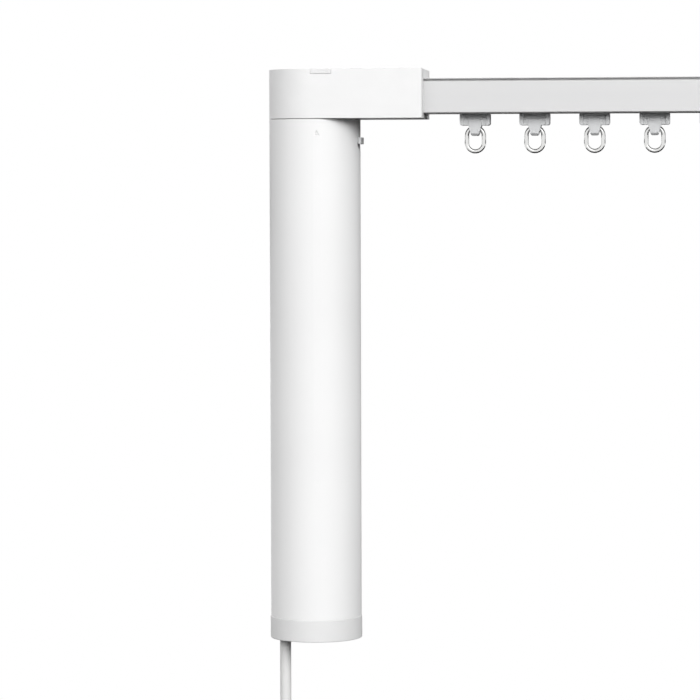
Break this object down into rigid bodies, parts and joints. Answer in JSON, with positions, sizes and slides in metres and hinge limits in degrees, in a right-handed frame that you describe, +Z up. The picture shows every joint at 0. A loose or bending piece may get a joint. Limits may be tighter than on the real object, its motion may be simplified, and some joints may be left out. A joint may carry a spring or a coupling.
{
  "type": "electric curtain track",
  "caption": "Electric curtain track: a white tubular motor hangs under one end of a silver ceiling rail and its belt pulls grey carriers with wire rings along the slot.",
  "frame": {"origin": "on the ceiling plane, midway between the two clip screw holes", "axes": "+X along the rail away from the motor, +Y to the wall behind, +Z up"},
  "size_m": [1.0948, 0.0506, 0.5205],
  "materials": {
    "head_shell": "satin moulded white",
    "tube_shell": "white powder coat",
    "cap_shell": "satin moulded light grey",
    "rail_metal": "matt anodised silver",
    "carrier_nylon": "moulded grey nylon",
    "wheel_plastic": "moulded white acetal",
    "ring_wire": "bright nickel plate",
    "clip_steel": "zinc plate",
    "lever_plastic": "moulded white",
    "belt_rubber": "matt polyurethane",
    "steel_parts": "turned steel",
    "pulley_plastic": "glass-filled nylon",
    "damper_rubber": "matt",
    "board_resin": "solder mask",
    "cord_pvc": "soft satin PVC",
    "tie_rubber": "soft matt",
    "plug_plastic": "moulded PVC",
    "pin_metal": "nickel-plated brass"
  },
  "bodies": {
    "track": {"rail": "rail_metal", "drive_belt": "belt_rubber", "clip_bodies": "clip_steel", "end_housing": "head_shell", "end_cover": "head_shell", "idler_axle": "steel_parts", "cover_screws": "steel_parts", "grub_screws": "steel_parts", "head_housing": "head_shell", "head_cover": "head_shell", "bearings": "steel_parts", "latch_spring": "steel_parts", "motor_tube": "tube_shell", "end_cap": "cap_shell", "gearbox_plate": "pulley_plastic", "ring_gear": "pulley_plastic", "motor_can": "steel_parts", "motor_damper": "damper_rubber", "control_board": "board_resin", "cord_gland": "cap_shell", "power_cord": "cord_pvc", "cord_coil": "cord_pvc", "cord_tie": "tie_rubber", "plug_body": "plug_plastic", "plug_pins": "pin_metal"},
    "spindle": {"output_spindle": "steel_parts", "drive_pulley": "pulley_plastic"},
    "sun": {"sun_shaft": "steel_parts"},
    "planet_1": {"planet_gear_1": "steel_parts"},
    "planet_2": {"planet_gear_2": "steel_parts"},
    "planet_3": {"planet_gear_3": "steel_parts"},
    "idler": {"idler_pulley": "pulley_plastic"},
    "driver": {"drive_carrier": "carrier_nylon", "belt_jaw": "steel_parts"},
    "driver_wheels_1": {"drive_wheels_1": "wheel_plastic"},
    "driver_wheels_2": {"drive_wheels_2": "wheel_plastic"},
    "driver_ring": {"drive_ring": "ring_wire"},
    "latch_slider": {"latch": "carrier_nylon"},
    "button": {"pairing_button": "lever_plastic"},
    "lever_1": {"clip_lever_1": "lever_plastic"},
    "lever_2": {"clip_lever_2": "lever_plastic"},
    "glider_1": {"carrier_1": "carrier_nylon"},
    "glider_wheels_1": {"wheels_1": "wheel_plastic"},
    "glider_ring_1": {"ring_1": "ring_wire"},
    "glider_2": {"carrier_2": "carrier_nylon"},
    "glider_wheels_2": {"wheels_2": "wheel_plastic"},
    "glider_ring_2": {"ring_2": "ring_wire"},
    "glider_3": {"carrier_3": "carrier_nylon"},
    "glider_wheels_3": {"wheels_3": "wheel_plastic"},
    "glider_ring_3": {"ring_3": "ring_wire"},
    "glider_4": {"carrier_4": "carrier_nylon"},
    "glider_wheels_4": {"wheels_4": "wheel_plastic"},
    "glider_ring_4": {"ring_4": "ring_wire"},
    "glider_5": {"carrier_5": "carrier_nylon"},
    "glider_wheels_5": {"wheels_5": "wheel_plastic"},
    "glider_ring_5": {"ring_5": "ring_wire"},
    "glider_6": {"carrier_6": "carrier_nylon"},
    "glider_wheels_6": {"wheels_6": "wheel_plastic"},
    "glider_ring_6": {"ring_6": "ring_wire"}
  },
  "joints": [
    {"name": "curtain_slide", "type": "slide", "parent": "track", "child": "driver", "axis": [1, 0, 0], "range_m": [-0.105, 0.67], "deforming": ["drive_belt"]},
    {"name": "spindle_spin", "type": "hinge", "parent": "track", "child": "spindle", "pos_m": [-0.522, 0, -0.0257], "axis": [0, 0, 1], "range_deg": [-542, 3447.7]},
    {"name": "sun_spin", "type": "hinge", "parent": "track", "child": "sun", "pos_m": [-0.522, 0, -0.0683], "axis": [0, 0, 1], "range_deg": [-2432, 15507.7]},
    {"name": "idler_spin", "type": "hinge", "parent": "track", "child": "idler", "pos_m": [0.518, 0, -0.0257], "axis": [0, 0, 1], "range_deg": [-542, 3447.7]},
    {"name": "latch_pull", "type": "slide", "parent": "track", "child": "latch_slider", "axis": [0, 0, -1], "range_m": [0, 0.003], "stiffness_N_per_m": 300, "springref_m": -0.002, "deforming": ["latch_spring"]},
    {"name": "button_press", "type": "slide", "parent": "track", "child": "button", "axis": [0, 0, 1], "range_m": [0, 0.0008], "stiffness_N_per_m": 600, "springref_m": -0.001},
    {"name": "planet_1_spin", "type": "hinge", "parent": "spindle", "child": "planet_1", "pos_m": [-0.5112, 0, -0.0683], "axis": [0, 0, 1], "range_deg": [-9650, 1514]},
    {"name": "planet_2_spin", "type": "hinge", "parent": "spindle", "child": "planet_2", "pos_m": [-0.5274, 0.00935, -0.0683], "axis": [0, 0, 1], "range_deg": [-9650, 1514]},
    {"name": "planet_3_spin", "type": "hinge", "parent": "spindle", "child": "planet_3", "pos_m": [-0.5274, -0.00935, -0.0683], "axis": [0, 0, 1], "range_deg": [-9650, 1514]},
    {"name": "clip_lever_1_turn", "type": "hinge", "parent": "track", "child": "lever_1", "pos_m": [-0.275, -0.0176, -0.008], "axis": [0, 0, -1], "range_deg": [0, 90]},
    {"name": "clip_lever_2_turn", "type": "hinge", "parent": "track", "child": "lever_2", "pos_m": [0.275, -0.0176, -0.008], "axis": [0, 0, -1], "range_deg": [0, 90]},
    {"name": "driver_wheels_1_roll", "type": "hinge", "parent": "driver", "child": "driver_wheels_1", "pos_m": [-0.236, 0, -0.0204], "axis": [0, 1, 0], "range_deg": [-1720.9, 10970]},
    {"name": "driver_wheels_2_roll", "type": "hinge", "parent": "driver", "child": "driver_wheels_2", "pos_m": [-0.208, 0, -0.0204], "axis": [0, 1, 0], "range_deg": [-1720.9, 10970]},
    {"name": "driver_ring_swing", "type": "hinge", "parent": "driver", "child": "driver_ring", "pos_m": [-0.222, 0, -0.0335], "axis": [1, 0, 0], "range_deg": [-60, 60]},
    {"name": "glider_1_slide", "type": "slide", "parent": "track", "child": "glider_1", "axis": [1, 0, 0], "range_m": [-0.0155, 0.09621]},
    {"name": "glider_wheels_1_roll", "type": "hinge", "parent": "glider_1", "child": "glider_wheels_1", "pos_m": [-0.4338, 0, -0.0204], "axis": [0, 1, 0], "range_deg": [-247.6, 1568.9]},
    {"name": "glider_ring_1_swing", "type": "hinge", "parent": "glider_1", "child": "glider_ring_1", "pos_m": [-0.4338, 0, -0.0335], "axis": [1, 0, 0], "range_deg": [-60, 60]},
    {"name": "glider_2_slide", "type": "slide", "parent": "track", "child": "glider_2", "axis": [1, 0, 0], "range_m": [-0.0305, 0.19193]},
    {"name": "glider_wheels_2_roll", "type": "hinge", "parent": "glider_2", "child": "glider_wheels_2", "pos_m": [-0.4013, 0, -0.0204], "axis": [0, 1, 0], "range_deg": [-493.1, 3135.7]},
    {"name": "glider_ring_2_swing", "type": "hinge", "parent": "glider_2", "child": "glider_ring_2", "pos_m": [-0.4013, 0, -0.0335], "axis": [1, 0, 0], "range_deg": [-60, 60]},
    {"name": "glider_3_slide", "type": "slide", "parent": "track", "child": "glider_3", "axis": [1, 0, 0], "range_m": [-0.0455, 0.28764]},
    {"name": "glider_wheels_3_roll", "type": "hinge", "parent": "glider_3", "child": "glider_wheels_3", "pos_m": [-0.3688, 0, -0.0204], "axis": [0, 1, 0], "range_deg": [-738.7, 4702.6]},
    {"name": "glider_ring_3_swing", "type": "hinge", "parent": "glider_3", "child": "glider_ring_3", "pos_m": [-0.3688, 0, -0.0335], "axis": [1, 0, 0], "range_deg": [-60, 60]},
    {"name": "glider_4_slide", "type": "slide", "parent": "track", "child": "glider_4", "axis": [1, 0, 0], "range_m": [-0.0605, 0.38336]},
    {"name": "glider_wheels_4_roll", "type": "hinge", "parent": "glider_4", "child": "glider_wheels_4", "pos_m": [-0.3363, 0, -0.0204], "axis": [0, 1, 0], "range_deg": [-984.2, 6269.5]},
    {"name": "glider_ring_4_swing", "type": "hinge", "parent": "glider_4", "child": "glider_ring_4", "pos_m": [-0.3363, 0, -0.0335], "axis": [1, 0, 0], "range_deg": [-60, 60]},
    {"name": "glider_5_slide", "type": "slide", "parent": "track", "child": "glider_5", "axis": [1, 0, 0], "range_m": [-0.0755, 0.47907]},
    {"name": "glider_wheels_5_roll", "type": "hinge", "parent": "glider_5", "child": "glider_wheels_5", "pos_m": [-0.3038, 0, -0.0204], "axis": [0, 1, 0], "range_deg": [-1229.8, 7836.3]},
    {"name": "glider_ring_5_swing", "type": "hinge", "parent": "glider_5", "child": "glider_ring_5", "pos_m": [-0.3038, 0, -0.0335], "axis": [1, 0, 0], "range_deg": [-60, 60]},
    {"name": "glider_6_slide", "type": "slide", "parent": "track", "child": "glider_6", "axis": [1, 0, 0], "range_m": [-0.0905, 0.57479]},
    {"name": "glider_wheels_6_roll", "type": "hinge", "parent": "glider_6", "child": "glider_wheels_6", "pos_m": [-0.2713, 0, -0.0204], "axis": [0, 1, 0], "range_deg": [-1475.3, 9403.2]},
    {"name": "glider_ring_6_swing", "type": "hinge", "parent": "glider_6", "child": "glider_ring_6", "pos_m": [-0.2713, 0, -0.0335], "axis": [1, 0, 0], "range_deg": [-60, 60]}
  ],
  "couplings": [
    {"joint": "spindle_spin", "follows": "curtain_slide", "rad_per_m": 89.76},
    {"joint": "sun_spin", "follows": "curtain_slide", "rad_per_m": 403.92},
    {"joint": "idler_spin", "follows": "curtain_slide", "rad_per_m": 89.76},
    {"joint": "planet_1_spin", "follows": "curtain_slide", "rad_per_m": -251.33},
    {"joint": "planet_2_spin", "follows": "curtain_slide", "rad_per_m": -251.33},
    {"joint": "planet_3_spin", "follows": "curtain_slide", "rad_per_m": -251.33},
    {"joint": "driver_wheels_1_roll", "follows": "curtain_slide", "rad_per_m": 285.71},
    {"joint": "driver_wheels_2_roll", "follows": "curtain_slide", "rad_per_m": 285.71},
    {"joint": "glider_1_slide", "follows": "curtain_slide", "ratio": 0.14286},
    {"joint": "glider_wheels_1_roll", "follows": "curtain_slide", "rad_per_m": 40.816},
    {"joint": "glider_2_slide", "follows": "curtain_slide", "ratio": 0.28571},
    {"joint": "glider_wheels_2_roll", "follows": "curtain_slide", "rad_per_m": 81.633},
    {"joint": "glider_3_slide", "follows": "curtain_slide", "ratio": 0.42857},
    {"joint": "glider_wheels_3_roll", "follows": "curtain_slide", "rad_per_m": 122.45},
    {"joint": "glider_4_slide", "follows": "curtain_slide", "ratio": 0.57143},
    {"joint": "glider_wheels_4_roll", "follows": "curtain_slide", "rad_per_m": 163.27},
    {"joint": "glider_5_slide", "follows": "curtain_slide", "ratio": 0.71429},
    {"joint": "glider_wheels_5_roll", "follows": "curtain_slide", "rad_per_m": 204.08},
    {"joint": "glider_6_slide", "follows": "curtain_slide", "ratio": 0.85714},
    {"joint": "glider_wheels_6_roll", "follows": "curtain_slide", "rad_per_m": 244.9}
  ]
}
